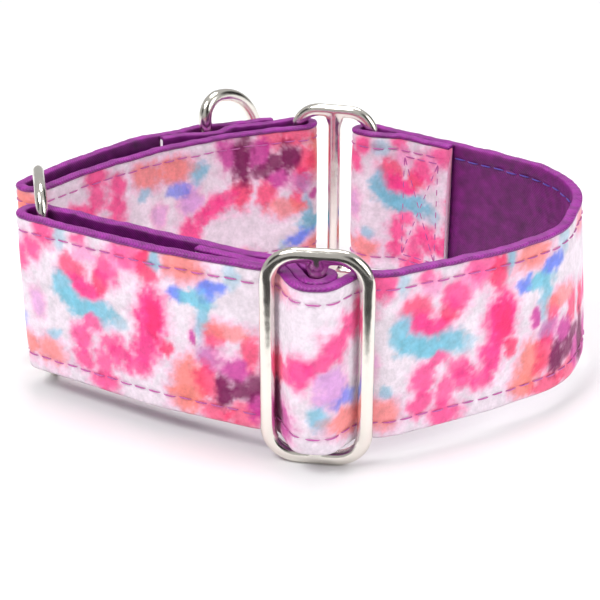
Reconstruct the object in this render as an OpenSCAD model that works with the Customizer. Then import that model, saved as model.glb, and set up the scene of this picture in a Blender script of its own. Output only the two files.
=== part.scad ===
// Martingale collar: a wide strap neck band, a control loop that tightens it, three slotted
// nickel castings and a D-shaped lead ring. It stands on the lower ends of the castings,
// with Z up and the neck opening upright. Seen from above, the neck band runs
// anticlockwise from its sewn end to its tab, and the control loop runs clockwise.

/* [Strap] */
// Height of both straps
strap_h = 38; // [30:0.5:38]
// Thickness of a finished strap
strap_t = 2.4; // [2:0.1:2.4]
// Thickness of the webbing core
core_t = 1.3; // [0.8:0.1:1.4]
// How far the printed cover stops short of each long edge
cover_inset = 0.7; // [0.4:0.1:1.5]
// Distance of the running stitch from each long edge
stitch_inset = 3.8; // [2:0.1:6]

/* [Hardware] */
// Outer height of a slotted casting
casting_h = 49; // [48:0.5:54]
// Outer width of a slotted casting
casting_w = 23.8; // [23.4:0.1:23.8]
// Diameter of the bars of a slotted casting
bar_d = 3.4; // [2.8:0.1:3.4]
// Radius of a casting's bends, at the middle of the bar
bend_r = 5.8; // [4.5:0.1:5.8]
// Outer height of the lead ring
lead_h = 52.4; // [51:0.2:53]
// How far the lead ring leans away from the strap, in degrees
lead_lean = 24; // [20:1:60]

/* [Layout] */
// Distance between a bar and the middle of the strap folded round it
fold_gap = 3.3; // [3.1:0.1:3.3]
// Length of the folded tab behind the back ring
tab_len = 24; // [20:1:28]
// Length of the loop's outer end past the lead ring
lap_len = 13; // [8:1:13]

/* [Hidden] */
$fn = 48;

// Heights above the surface that the collar stands on
mid_z = casting_h / 2;
strap_z = mid_z - strap_h / 2;

// Layers of the strap, measured from its middle towards the print side
skin_gap = 0.03;
face_d = strap_t / 2;
core_d = core_t / 2;
core_inset = 1;
hem_t = cover_inset - 0.05;
// Threads: a running stitch sinks into the cloth, and a seam's thread stands proud
row_t = 0.04;
seam_t = 0.16;
thread_w = 0.6;
arc_step = 9;

// Castings: middle of the slide, and the bars that the rings hang on
bar_pitch = (casting_w - bar_d) / 2;
slide_c = [4.5, -56.2];
slide_a = -9;
near_bar = [-56.2, -21];
left_a = 101.6;
left_c = place(near_bar, left_a, [bar_pitch, 0]);
far_bar = place(near_bar, left_a, [2 * bar_pitch, 0]);
back_bar = [20, 39.6];
back_a = -16.5;
back_c = place(back_bar, back_a, [-bar_pitch, 0]);
loop_bar = place(back_bar, back_a, [-2 * bar_pitch, 0]);
lead_bar = [-23.6, 39.7];
lead_a = 28;

// Headings of the strap at its folds
near_a = 149;
tab_a = 141.6;
loop_a = 20;
far_a = 235;

// Weave of the strap through the slide, across the slide and towards the neck
weave_out = 3.1;
weave_front = 5.6;
wrap_r = 3.0;
ply = strap_t + 0.1;

// Bend and heading of the strap's sewn end, and how much tighter a fold's corners are
tail_bend = on_slide(-13.3, 5.62);
tail_a = 150;
fold_ease = 0.25;

// How far to the left of the back ring's bar the tab lies, and the heading of the loop's outer end
tab_y = ply - fold_gap + 0.07;
lap_a = loop_a + 2;

// Moves the collar so that the origin is in the middle of its footprint
footprint = [-0.16, 2.65];

// A point given along and to the left of heading a, from point c
function place(c, a, p) = c + p.x * [cos(a), sin(a)] + p.y * [-sin(a), cos(a)];

function on_slide(x, y) = place(slide_c, slide_a, [x, y]);

// Two corners that fold a strap round a bar. turn is 1 to the left and -1 to the right
function fold(c, a, turn, past) = [
    [place(c, a, [past + fold_gap, -turn * fold_gap]), fold_gap - fold_ease],
    [place(c, a, [past + fold_gap, turn * fold_gap]), fold_gap - fold_ease]
];

function unit(v) = v / norm(v);
function cross2(a, b) = a.x * b.y - a.y * b.x;

// A corner [point, radius] of a route, turned into points along its arc
function arc_corner(before, corner, after) =
    let (u = unit(corner[0] - before), v = unit(after - corner[0]))
    let (turn = atan2(cross2(u, v), u * v))
    let (cut = corner[1] * tan(abs(turn) / 2), side = sign(turn))
    let (start = corner[0] - cut * u)
    let (centre = start + side * corner[1] * [-u.y, u.x])
    let (count = max(1, ceil(abs(turn) / arc_step)))
    [for (i = [0:count])
        let (a = turn * i / count, arm = start - centre)
        centre + [arm.x * cos(a) - arm.y * sin(a), arm.x * sin(a) + arm.y * cos(a)]];

// A route's corners turned into the points of its middle line
function route_points(route) = [
    for (i = [0:len(route) - 1])
        each (i == 0 || i == len(route) - 1)
            ? [route[i][0]]
            : arc_corner(route[i - 1][0], route[i], route[i + 1][0])
];

// The same line moved by d to its left
function beside(line, d) = [
    for (i = [0:len(line) - 1])
        let (u = unit(line[max(i, 1)] - line[max(i, 1) - 1]))
        let (v = unit(line[min(i + 1, len(line) - 1)] - line[min(i, len(line) - 2)]))
        let (n = unit([-u.y - v.y, u.x + v.x]))
        line[i] + d * n / (n * [-u.y, u.x])
];

band_route = [
    [place(tail_bend, tail_a, [14.5, 0]), 0],
    [tail_bend, 8],
    [on_slide(-6.5, 5.66), 2],
    [on_slide(-1.8, -wrap_r), 2.9],
    [on_slide(wrap_r, -wrap_r), 2.9],
    [on_slide(wrap_r, wrap_r), 2.9],
    [on_slide(-2.2, wrap_r), 1.6],
    [on_slide(-5, 8.2), 1.6],
    [on_slide(-13, 8.24), 10],
    [[-26.4, -35], 60],
    each fold(near_bar, near_a, 1, 1.6),
    [[-30.1, -41.2], 60],
    [on_slide(-13, weave_out), 10],
    [on_slide(-8, weave_out), 2.5],
    [on_slide(-3.2, -weave_front), 3],
    [on_slide(3.2, -weave_front), 3],
    [on_slide(8, weave_out), 2.5],
    [on_slide(13.5, weave_out), 11],
    [[44.1, -42.1], 60],
    [[57.8, -31.6], 27],
    [[65.9, -8.2], 27],
    [[62, 8.6], 27],
    [[48.1, 21.4], 60],
    each fold(back_bar, tab_a, 1, 1),
    [place(back_bar, tab_a, [-2, fold_gap]), 4],
    [place(back_bar, tab_a, [-9, tab_y]), 4],
    [place(back_bar, tab_a, [-tab_len, tab_y]), 0]
];

loop_route = [
    [place(lead_bar, lead_a, [-13, -ply / 2]), 0],
    [place(lead_bar, lead_a, [-6.5, -ply / 2]), 4],
    [place(lead_bar, lead_a, [-2.5, -fold_gap]), 4],
    [place(lead_bar, lead_a, [2.5, -fold_gap]), 4],
    [place(lead_bar, lead_a, [6.5, -ply / 2]), 4],
    each fold(loop_bar, loop_a, -1, 0.8),
    [[-14.8, 36.2], 60],
    [[-33.9, 24.4], 60],
    [[-50.4, 7.4], 50],
    each fold(far_bar, far_a, -1, 1.1),
    [[-56, 12.2], 40],
    [[-40.9, 31.9], 20],
    [place(lead_bar, lead_a, [-6.5, ply / 2]), 4],
    [place(lead_bar, lead_a, [-2.5, fold_gap]), 4],
    [place(lead_bar, lead_a, [2.5, fold_gap]), 4],
    [place(lead_bar, lead_a, [6.5, ply / 2 + 0.1]), 4],
    [place(place(lead_bar, lead_a, [6.5, ply / 2 + 0.1]), lap_a, [lap_len, 0]), 0]
];

band_line = route_points(band_route);
loop_line = route_points(loop_route);

// A sheet that follows a line, between two distances to its left
module sheet(line, near, far, low, high) {
    translate([0, 0, strap_z + low])
        linear_extrude(high - low)
            polygon(concat(
                beside(line, near),
                [for (i = [1:len(line)]) beside(line, far)[len(line) - i]]
            ));
}

// The printed cover. side is 1 where the print is on the route's left, and -1 on its right
module cover(line, side) {
    sheet(line, side * (core_d + skin_gap), side * face_d, cover_inset, strap_h - cover_inset);
}

module webbing(line) {
    sheet(line, -core_d, core_d, core_inset, strap_h - core_inset);
}

// The satin lining: a channel that backs the strap and wraps over its two long edges
module lining(line, side) {
    lip_d = face_d - 0.1;
    sheet(line, -side * face_d, -side * (core_d + skin_gap), 0, strap_h);
    for (low = [0, strap_h - hem_t])
        sheet(line, -side * core_d, side * lip_d, low, low + hem_t);
}

// A row of running stitch, as one thread along the print side of the strap
module stitch_row(line, side, height) {
    sheet(line, side * face_d, side * (face_d + row_t),
          height - thread_w / 2, height + thread_w / 2);
}

// An upright thread on one face, at a place along and to the left of a heading
module upright_thread(c, a, p, length, thick = seam_t) {
    spot = place(c, a, p);
    translate([spot.x, spot.y, mid_z - length / 2])
        rotate(a)
            translate([-thread_w / 2, -thick / 2, 0])
                cube([thread_w, thick, length]);
}

// A thread that slants across one face, from the middle of the strap
module slanted_thread(c, a, p, length, tilt) {
    spot = place(c, a, p);
    translate([spot.x, spot.y, mid_z])
        rotate(a)
            rotate([0, tilt, 0])
                translate([-length / 2, -seam_t / 2, -thread_w / 2])
                    cube([length, seam_t, thread_w]);
}

module bent_bar(radius, angle) {
    rotate_extrude(angle = angle)
        translate([radius, 0])
            circle(d = bar_d);
}

// A slotted casting: a rounded frame of round bar, and a centre bar with flared ends
module casting(c, a) {
    half_w = bar_pitch - bend_r;
    half_h = (casting_h - bar_d) / 2 - bend_r;
    flare_h = 2.4;
    translate([c.x, c.y, mid_z])
        rotate([90, 0, a])
            union() {
                for (q = [0:3])
                    translate([half_w * [1, -1, -1, 1][q], half_h * [1, 1, -1, -1][q], 0])
                        rotate(90 * q)
                            bent_bar(bend_r, 90);
                for (x = [-bar_pitch, 0, bar_pitch])
                    translate([x, 0, 0])
                        rotate([90, 0, 0])
                            cylinder(d = bar_d, h = (x == 0 ? casting_h - bar_d : 2 * half_h),
                                     center = true);
                for (y = [-1, 1])
                    translate([0, y * (casting_h - bar_d) / 2, 0]) {
                        rotate([0, 90, 0])
                            cylinder(d = bar_d, h = 2 * half_w, center = true);
                        rotate([90 * y, 0, 0])
                            cylinder(r1 = bar_d / 2 + 0.9, r2 = bar_d / 2, h = bar_d / 2 + flare_h);
                    }
            }
}

module neck_band_cover() {
    color("#e889bd") cover(band_line, -1);
}

module neck_band_webbing() {
    color("#d8d4dc") webbing(band_line);
}

module neck_band_lining() {
    color("#7a1f8a") lining(band_line, -1);
}

module neck_band_top_stitching() {
    color("#a63fae") stitch_row(band_line, -1, strap_h - stitch_inset);
}

module neck_band_bottom_stitching() {
    color("#a63fae") stitch_row(band_line, -1, stitch_inset);
}

// Two uprights and a cross that sew the tab to the band, on the tab's face
module tab_box_stitching() {
    face = tab_y + face_d + seam_t / 2;
    left = -tab_len + 3;
    right = -tab_len + 13.3;
    box_h = strap_h - 2 * stitch_inset - 3;
    reach = right - left;
    color("#c060b0")
        union() {
            for (x = [left, right])
                upright_thread(back_bar, tab_a, [x, face], box_h);
            for (turn = [-1, 1])
                slanted_thread(back_bar, tab_a, [(left + right) / 2, face],
                               norm([reach, box_h]), turn * atan2(box_h, reach));
        }
}

// Two uprights that sew the strap's end to the strand beside it
module tail_stitching() {
    color("#a63fae")
        for (along = [4.5, 12])
            upright_thread(tail_bend, tail_a, [along, face_d + row_t / 2],
                           strap_h - 2 * stitch_inset - 3, row_t);
}

module control_loop_cover() {
    color("#e889bd") cover(loop_line, 1);
}

module control_loop_webbing() {
    color("#d8d4dc") webbing(loop_line);
}

module control_loop_lining() {
    color("#7a1f8a") lining(loop_line, 1);
}

module control_loop_top_stitching() {
    color("#a63fae") stitch_row(loop_line, 1, strap_h - stitch_inset);
}

module control_loop_bottom_stitching() {
    color("#a63fae") stitch_row(loop_line, 1, stitch_inset);
}

// Uprights on either side of the lead ring's bar, on the outer face of the loop
module lead_seam_stitching() {
    face = ply / 2 + face_d + seam_t / 2;
    seam_h = strap_h - 2 * stitch_inset - 3;
    color("#a63fae")
        union() {
            upright_thread(lead_bar, lead_a, [-9, face], seam_h);
            upright_thread(place(lead_bar, lead_a, [6.5, 0.1]), lap_a, [4, face], seam_h);
        }
}

module adjuster_slide() {
    color("#d9d6cc") casting(slide_c, slide_a);
}

module left_ring() {
    color("#d9d6cc") casting(left_c, left_a);
}

module back_ring() {
    color("#d9d6cc") casting(back_c, back_a);
}

// Half of the lead ring: its bar, the tight bend at the bar's end, and the wide bow
module lead_ring_half() {
    half_h = (lead_h - bar_d) / 2;
    corner_r = 5;
    shoulder_r = 16;
    straight = half_h - shoulder_r;
    rotate([-90, 0, 0])
        cylinder(d = bar_d, h = half_h - corner_r);
    translate([corner_r, half_h - corner_r])
        rotate(90) bent_bar(corner_r, 90);
    translate([corner_r, straight])
        bent_bar(shoulder_r, 90);
    translate([corner_r + shoulder_r, 0])
        rotate([-90, 0, 0])
            cylinder(d = bar_d, h = straight);
}

// The lead ring stands on its lower bend and leans away from the loop
module lead_ring() {
    foot = 0.2;
    color("#d9d6cc")
        translate([lead_bar.x, lead_bar.y, foot + lead_h / 2])
            rotate([90, 0, lead_a + lead_lean])
                union() {
                    lead_ring_half();
                    mirror([0, 1, 0]) lead_ring_half();
                }
}

// One piece, put in place over the middle of the footprint
module piece(name) {
    translate([footprint.x, footprint.y, 0])
            children();
}

piece("neck_band_cover") neck_band_cover();
piece("neck_band_webbing") neck_band_webbing();
piece("neck_band_lining") neck_band_lining();
piece("neck_band_top_stitching") neck_band_top_stitching();
piece("neck_band_bottom_stitching") neck_band_bottom_stitching();
piece("tab_box_stitching") tab_box_stitching();
piece("tail_stitching") tail_stitching();
piece("control_loop_cover") control_loop_cover();
piece("control_loop_webbing") control_loop_webbing();
piece("control_loop_lining") control_loop_lining();
piece("control_loop_top_stitching") control_loop_top_stitching();
piece("control_loop_bottom_stitching") control_loop_bottom_stitching();
piece("lead_seam_stitching") lead_seam_stitching();
piece("adjuster_slide") adjuster_slide();
piece("left_ring") left_ring();
piece("back_ring") back_ring();
piece("lead_ring") lead_ring();
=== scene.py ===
"""Martingale collar: velvet print strap, satin lining, nickel castings, one shared frame.

Lengths are in millimetres while a shape is worked out, and in metres in every mesh.
"""

import logging
import math
from dataclasses import dataclass, field
from enum import Enum

import bpy
import numpy as np
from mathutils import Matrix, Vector


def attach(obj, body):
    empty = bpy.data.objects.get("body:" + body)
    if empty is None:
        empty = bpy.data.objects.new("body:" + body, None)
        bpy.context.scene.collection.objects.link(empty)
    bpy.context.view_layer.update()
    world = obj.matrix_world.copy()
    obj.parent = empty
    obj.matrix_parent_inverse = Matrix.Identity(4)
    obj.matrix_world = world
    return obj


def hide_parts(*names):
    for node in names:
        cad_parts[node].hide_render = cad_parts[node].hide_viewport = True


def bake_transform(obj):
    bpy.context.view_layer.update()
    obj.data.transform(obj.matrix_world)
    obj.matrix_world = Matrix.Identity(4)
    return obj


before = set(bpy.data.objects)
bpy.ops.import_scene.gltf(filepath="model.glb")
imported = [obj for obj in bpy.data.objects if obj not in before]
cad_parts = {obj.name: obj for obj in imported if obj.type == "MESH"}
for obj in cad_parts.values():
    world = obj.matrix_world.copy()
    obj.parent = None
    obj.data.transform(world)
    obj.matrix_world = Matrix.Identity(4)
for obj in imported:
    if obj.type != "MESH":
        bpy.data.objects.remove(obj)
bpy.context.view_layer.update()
LOG = logging.getLogger("collar")

MM = 0.001
SOFTEN = 0.55
ROW_DEPTH, ROW_W = 0.24, 0.6
PUCKER_DEPTH, PUCKER_W = 0.14, 3.2
EDGE_DROP, EDGE_W = 0.32, 0.55
HEM_W, CORE_INSET = 0.8, 1.1
STRAP_H = 38.0
STRAP_Z = 5.5
MID_Z = 24.5
FACE_D = 1.2
CORE_D = 0.65
SKIN_GAP = 0.03
COVER_LOW, COVER_HIGH = 0.12, 37.2
STITCH_INSET = 3.8
FOLD_GAP = 3.3
FOLD_EASE = 0.25
PLY = 2.5
CASTING_H = 49.0
CASTING_W = 23.8
BAR_D = 3.4
BEND_R = 6.2
BAR_PITCH = (CASTING_W - BAR_D) / 2
LEAD_H = 52.4
LEAD_LEAN = 24.0
LEAD_FOOT = 0.2
FLARE_OUT, FLARE_H, FLARE_FLAT = 1.3, 4.6, 0.56
CASTING_SCALE = (1.004, 1.003, 0.84)
SMOOTHING, SMOOTH_PASSES = 0.6, 9
AROUND, CARD_GLOW = 0.80, 0.03
VOXEL = 0.0003
STITCHED_X = (-21.0, -10.7)
TAB_Y = PLY - FOLD_GAP + 0.07
FOOTPRINT = (-0.16, 2.65)
TAIL_A, TAB_A, LOOP_A, LAP_A, NEAR_A, FAR_A = 150.0, 141.6, 20.0, 22.0, 149.0, 235.0
SLIDE_A, LEFT_A, BACK_A, LEAD_A = -9.0, 101.6, -16.5, 28.0

Point = tuple[float, float]


def place(c: Point, heading: float, x: float, y: float) -> Point:
    """A point given along and to the left of a heading.

    Args:
        c: the point that it's measured from, in mm.
        heading: the heading, in degrees.
        x: distance along the heading.
        y: distance to the left of it.

    Returns:
        The point, in mm.
    """
    a = math.radians(heading)
    return (c[0] + x * math.cos(a) - y * math.sin(a), c[1] + x * math.sin(a) + y * math.cos(a))


SLIDE_C: Point = (4.5, -56.2)
NEAR_BAR: Point = (-56.2, -21.0)
BACK_BAR: Point = (20.0, 39.6)
LEAD_BAR: Point = (-23.6, 39.7)
LEFT_C = place(NEAR_BAR, LEFT_A, BAR_PITCH, 0)
FAR_BAR = place(NEAR_BAR, LEFT_A, 2 * BAR_PITCH, 0)
BACK_C = place(BACK_BAR, BACK_A, -BAR_PITCH, 0)
LOOP_BAR = place(BACK_BAR, BACK_A, -2 * BAR_PITCH, 0)


def on_slide(x: float, y: float) -> Point:
    """A point beside the middle of the slide, along and to the left of its heading.

    Args:
        x: distance along the slide's heading.
        y: distance to the left of it.

    Returns:
        The point, in mm.
    """
    return place(SLIDE_C, SLIDE_A, x, y)


def fold(c: Point, heading: float, turn: int, past: float) -> list[tuple[Point, float]]:
    """Two corners that fold a strap round a bar.

    Args:
        c: the bar.
        heading: the strap's heading as it reaches the bar.
        turn: 1 to the left and -1 to the right.
        past: how far past the bar the fold lies.

    Returns:
        The corners, each with its radius.
    """
    return [(place(c, heading, past + FOLD_GAP, side * turn * FOLD_GAP), FOLD_GAP - FOLD_EASE)
            for side in (-1, 1)]


TAIL_BEND = on_slide(-13.3, 5.62)
BAND_ROUTE: list[tuple[Point, float]] = [
    (place(TAIL_BEND, TAIL_A, 14.5, 0), 0), (TAIL_BEND, 8),
    (on_slide(-6.5, 5.66), 2), (on_slide(-1.8, -3), 2.9), (on_slide(3, -3), 2.9),
    (on_slide(3, 3), 2.9), (on_slide(-2.2, 3), 1.6), (on_slide(-5, 8.2), 1.6),
    (on_slide(-13, 8.24), 10), ((-26.4, -35), 60), *fold(NEAR_BAR, NEAR_A, 1, 1.6),
    ((-30.1, -41.2), 60), (on_slide(-13, 3.1), 10), (on_slide(-8, 3.1), 2.5),
    (on_slide(-3.2, -5.6), 3), (on_slide(3.2, -5.6), 3), (on_slide(8, 3.1), 2.5),
    (on_slide(13.5, 3.1), 11), ((44.1, -42.1), 60), ((57.8, -31.6), 27), ((65.9, -8.2), 27),
    ((62, 8.6), 27), ((48.1, 21.4), 60), *fold(BACK_BAR, TAB_A, 1, 1),
    (place(BACK_BAR, TAB_A, -2, FOLD_GAP), 4), (place(BACK_BAR, TAB_A, -9, TAB_Y), 4),
    (place(BACK_BAR, TAB_A, -24, TAB_Y), 0),
]


def at_lead(x: float, y: float) -> Point:
    """A point beside the lead ring's bar, along and to the left of its heading.

    Args:
        x: distance along the heading of the pocket round the bar.
        y: distance to the left of it.

    Returns:
        The point, in mm.
    """
    return place(LEAD_BAR, LEAD_A, x, y)


LOOP_ROUTE: list[tuple[Point, float]] = [
    (at_lead(-13, -1.25), 0), (at_lead(-6.5, -1.25), 4), (at_lead(-2.5, -3.3), 4),
    (at_lead(2.5, -3.3), 4), (at_lead(6.5, -1.25), 4), *fold(LOOP_BAR, LOOP_A, -1, 0.8),
    ((-14.8, 36.2), 60), ((-33.9, 24.4), 60), ((-50.4, 7.4), 50), *fold(FAR_BAR, FAR_A, -1, 1.1),
    ((-56, 12.2), 40), ((-40.9, 31.9), 20), (at_lead(-6.5, 1.25), 4), (at_lead(-2.5, 3.3), 4),
    (at_lead(2.5, 3.3), 4), (at_lead(6.5, 1.35), 4), (place(at_lead(6.5, 1.35), LAP_A, 13, 0), 0),
]


def corner_points(before: Point, corner: tuple[Point, float], after: Point) -> list[np.ndarray]:
    """A rounded corner of a route, as points along its arc.

    Args:
        before: the corner before this one.
        corner: this corner and its radius.
        after: the corner after this one.

    Returns:
        The points of the arc.
    """
    p, radius = np.array(corner[0], float), corner[1]
    u, v = p - np.array(before), np.array(after) - p
    u, v = u / np.linalg.norm(u), v / np.linalg.norm(v)
    turn = math.atan2(u[0] * v[1] - u[1] * v[0], float(u @ v))
    cut, side = radius * math.tan(abs(turn) / 2), math.copysign(1, turn)
    start = p - cut * u
    centre = start + side * radius * np.array((-u[1], u[0]))
    count = max(1, math.ceil(abs(math.degrees(turn)) / 3))
    arm = start - centre
    points = []
    for i in range(count + 1):
        a = turn * i / count
        points.append(centre + np.array((arm[0] * math.cos(a) - arm[1] * math.sin(a),
                                         arm[0] * math.sin(a) + arm[1] * math.cos(a))))
    return points


def value_noise(x: np.ndarray, y: np.ndarray, seed: int) -> np.ndarray:
    """Smooth noise from -1 to 1, the same on each run.

    Args:
        x: first coordinate, in cells.
        y: second coordinate, in cells.
        seed: which noise.

    Returns:
        One value for each point.
    """
    grid = np.random.RandomState(seed).uniform(-1, 1, (64, 64))
    ix, iy = np.floor(x).astype(int), np.floor(y).astype(int)
    fx, fy = x - ix, y - iy
    fx, fy = fx * fx * (3 - 2 * fx), fy * fy * (3 - 2 * fy)
    a, b = grid[ix % 64, iy % 64], grid[(ix + 1) % 64, iy % 64]
    c, d = grid[ix % 64, (iy + 1) % 64], grid[(ix + 1) % 64, (iy + 1) % 64]
    return (a * (1 - fx) + b * fx) * (1 - fy) + (c * (1 - fx) + d * fx) * fy


def layered(u: np.ndarray, v: np.ndarray, layers: tuple[tuple[float, float, int], ...]
            ) -> np.ndarray:
    """Several layers of noise, added together.

    Args:
        u: first coordinate, in mm.
        v: second coordinate, in mm.
        layers: the strength, the cell in mm and the seed of each layer.

    Returns:
        One value for each point.
    """
    return sum(strength * value_noise(u / cell, v / cell, seed) for strength, cell, seed in layers)


def smooth_step(low: float, high: float, x: np.ndarray) -> np.ndarray:
    """0 below low, 1 above high, and a smooth rise between them. high may be below low.

    Args:
        low: where it is 0.
        high: where it is 1.
        x: the values.

    Returns:
        One weight for each value.
    """
    t = np.clip((x - low) / (high - low), 0, 1)
    return t * t * (3 - 2 * t)


class PrintSide(Enum):
    """Which side of a route the strap's print is on."""

    LEFT = 1
    RIGHT = -1


@dataclass
class Strap:
    """The middle line of a strap, and the places on and round it."""

    name: str
    route: list[tuple[Point, float]]
    side: PrintSide
    lean: float = 0.0
    lean_from: float = 250.0
    lean_to: float = 325.0
    step: float = 0.5
    line: np.ndarray = field(init=False)
    left: np.ndarray = field(init=False)
    length: float = field(init=False)

    def __post_init__(self) -> None:
        """Rounds the route's corners and spaces points evenly along it."""
        points: list[np.ndarray] = [np.array(self.route[0][0], float)]
        for i in range(1, len(self.route) - 1):
            points += corner_points(self.route[i - 1][0], self.route[i], self.route[i + 1][0])
        points.append(np.array(self.route[-1][0], float))
        raw = np.array(points)
        keep = np.r_[True, np.linalg.norm(np.diff(raw, axis=0), axis=1) > 1e-6]
        raw = raw[keep]
        along = np.r_[0, np.cumsum(np.linalg.norm(np.diff(raw, axis=0), axis=1))]
        count = round(along[-1] / self.step)
        at = np.linspace(0, along[-1], count + 1)
        line = np.stack([np.interp(at, along, raw[:, k]) for k in (0, 1)], 1)
        weights = np.exp(-0.5 * (np.arange(-4, 5) * self.step / SOFTEN) ** 2)
        weights /= weights.sum()
        padded = np.pad(line, ((4, 4), (0, 0)), mode="reflect", reflect_type="odd")
        line = np.stack([np.convolve(padded[:, k], weights, "valid") for k in (0, 1)], 1)
        heading = np.gradient(line, axis=0)
        heading /= np.linalg.norm(heading, axis=1)[:, None]
        self.line, self.left = line, np.stack([-heading[:, 1], heading[:, 0]], 1)
        self.length = float(along[-1])

    def at(self, u: np.ndarray, v: np.ndarray, d: np.ndarray) -> np.ndarray:
        """Places on the strap.

        Args:
            u: distance along the middle line, in mm.
            v: height above the lower edge, in mm.
            d: distance from the middle line towards the print side, in mm.

        Returns:
            One point for each, in metres.
        """
        u, v, d = np.broadcast_arrays(np.asarray(u, float), v, d)
        at = np.linspace(0, self.length, len(self.line))
        p = [np.interp(u, at, self.line[:, k]) for k in (0, 1)]
        n = [np.interp(u, at, self.left[:, k]) for k in (0, 1)]
        bump = smooth_step(self.lean_from, self.lean_from + 30, u)
        bump = bump * smooth_step(self.lean_to, self.lean_to - 34, u)
        off = self.side.value * (d + self.lean * bump * (1 - v / STRAP_H))
        return np.stack([p[0] + n[0] * off + FOOTPRINT[0], p[1] + n[1] * off + FOOTPRINT[1],
                         STRAP_Z + v], -1) * MM


class Dye(Enum):
    """The colours of the print."""

    BASE = "#f2e5f0"
    HOT = "#fb4390"
    CRIMSON = "#f8336b"
    PALE = "#f9a3d0"
    MAGENTA = "#cc2d9c"
    CORAL = "#f88a80"
    SKY = "#7cc3da"
    VIOLET = "#6583ee"
    PLUM = "#7a0a54"
    LILAC = "#d9a0e0"


# Blots of the print's repeat: along, up, half width, half height, dye, strength, tilt.
BLOTS: list[tuple[float, float, float, float, Dye, float, float]] = [
    (62, 35, 4, 2.4, Dye.CORAL, .5, 0), (75, 15.5, 3, 4, Dye.LILAC, .8, 0),
    (85, 18, 2, 3, Dye.LILAC, .5, 0), (37, 35, 5, 3.4, Dye.CORAL, .85, 0),
    (48, 35, 2, 3, Dye.SKY, .5, 0), (42, 15, 2, 3, Dye.SKY, .45, 0),
    (7.5, 28.5, 3, 3.2, Dye.CRIMSON, .8, 0), (8.5, 25, 2.5, 2.5, Dye.HOT, .9, 0),
    (12, 23.8, 3.6, 2.4, Dye.HOT, .95, 0), (15.5, 27, 2.3, 2.5, Dye.CRIMSON, .85, 0),
    (17.5, 30.5, 3, 3.4, Dye.HOT, .85, 0), (21, 34, 2.8, 3, Dye.PALE, .9, 0),
    (10, 35.5, 2.2, 1.8, Dye.HOT, .8, 0), (11.5, 33, 2.5, 2, Dye.PALE, .8, 0),
    (4.5, 24, 2.2, 3.6, Dye.SKY, .9, 0), (7, 20.5, 3, 2.6, Dye.SKY, .95, 0),
    (11, 19, 3.6, 2.4, Dye.SKY, .95, 0), (16, 19.8, 3.4, 2.6, Dye.SKY, .9, 0),
    (4.5, 35, 1.6, 2.6, Dye.SKY, .5, 0), (20, 18.5, 2, 2, Dye.SKY, .5, 0),
    (24, 35, 4, 3.5, Dye.HOT, .75, 0), (28, 33, 2.2, 4, Dye.CRIMSON, .85, 0),
    (29, 22, 3.6, 7, Dye.HOT, 1, 0), (29.4, 21, 1.8, 5, Dye.CRIMSON, .7, 0),
    (27, 14, 3, 4, Dye.HOT, .95, 0), (13, 16, 2.6, 1.8, Dye.HOT, .8, 0),
    (9.8, 12, 2.6, 3.4, Dye.HOT, .85, 0), (9.5, 6.5, 2.6, 2.6, Dye.HOT, .85, 0),
    (15.5, 8, 2.2, 3.4, Dye.HOT, .8, 0), (15.5, 2.5, 3.4, 3, Dye.HOT, .85, 0),
    (18.5, 13, 2.6, 2.4, Dye.HOT, .8, 0), (20, 10.5, 3, 2.6, Dye.HOT, .85, 0),
    (25, 9.5, 3, 2.4, Dye.HOT, .85, 0), (32.3, 15, 1.3, 2, Dye.CRIMSON, .85, 0),
    (30.5, 35, 1.2, 2, Dye.SKY, .8, 0), (35, 28.3, 2, 1.6, Dye.VIOLET, .9, 0),
    (38.5, 28, 2.5, 1.6, Dye.SKY, .9, 0), (40, 28, 4, 2, Dye.SKY, .7, 0),
    (43.5, 31, 3.2, 1.8, Dye.VIOLET, .9, .4), (41.5, 24, 1.8, 4.5, Dye.SKY, .85, 0),
    (39, 19.5, 1.1, 1.6, Dye.MAGENTA, .85, 0), (38, 8, 3.4, 6, Dye.CORAL, .9, 0),
    (36, 4, 3, 3, Dye.CORAL, .8, 0), (43, 15, 3, 3, Dye.MAGENTA, .65, 0),
    (44, 20.5, 2, 2.6, Dye.CRIMSON, .8, 0), (42, 10, 3, 4, Dye.CRIMSON, .8, 0),
    (52.5, 17.5, 2.2, 4, Dye.CRIMSON, .8, 0), (44, 2, 4, 3, Dye.CRIMSON, .75, 0),
    (51, 2.5, 4, 3, Dye.CRIMSON, .7, 0), (49, 13, 3, 2.6, Dye.MAGENTA, .85, 0),
    (55, 6, 3, 4, Dye.MAGENTA, .85, 0), (47, 22, 5, 2.2, Dye.CORAL, .7, 0),
    (46, 8, 2.2, 4, Dye.PLUM, .95, 0), (50.5, 8.5, 3, 2.2, Dye.PLUM, .9, 0),
    (54, 11, 2.6, 2, Dye.PLUM, .85, 0), (63.5, 5, 3, 4.5, Dye.MAGENTA, .85, 0),
    (60, 16, 2.6, 4, Dye.CRIMSON, .85, 0), (59.5, 7, 2.6, 7, Dye.PLUM, .95, 0),
    (64.5, 17, 3, 1.8, Dye.HOT, .8, .4), (68, 18.5, 3.2, 3, Dye.HOT, .9, .4),
    (72, 21, 3, 2, Dye.HOT, .85, .6), (76, 24.5, 3.2, 3.2, Dye.HOT, .9, .6),
    (80, 28, 2.4, 3, Dye.HOT, .85, .6), (84, 31, 2.4, 3, Dye.HOT, .85, .5),
    (88, 35, 2.4, 3, Dye.HOT, .85, 0), (78.5, 12, 3, 1.8, Dye.VIOLET, .75, 0),
    (72.5, 8.5, 2.4, 3.2, Dye.SKY, .85, 0), (79, 6.5, 5, 3, Dye.CORAL, .85, 0),
    (88, 6, 4, 3.4, Dye.CORAL, .8, 0), (1.5, 11, 1.8, 1.6, Dye.SKY, .7, 0),
]


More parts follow.
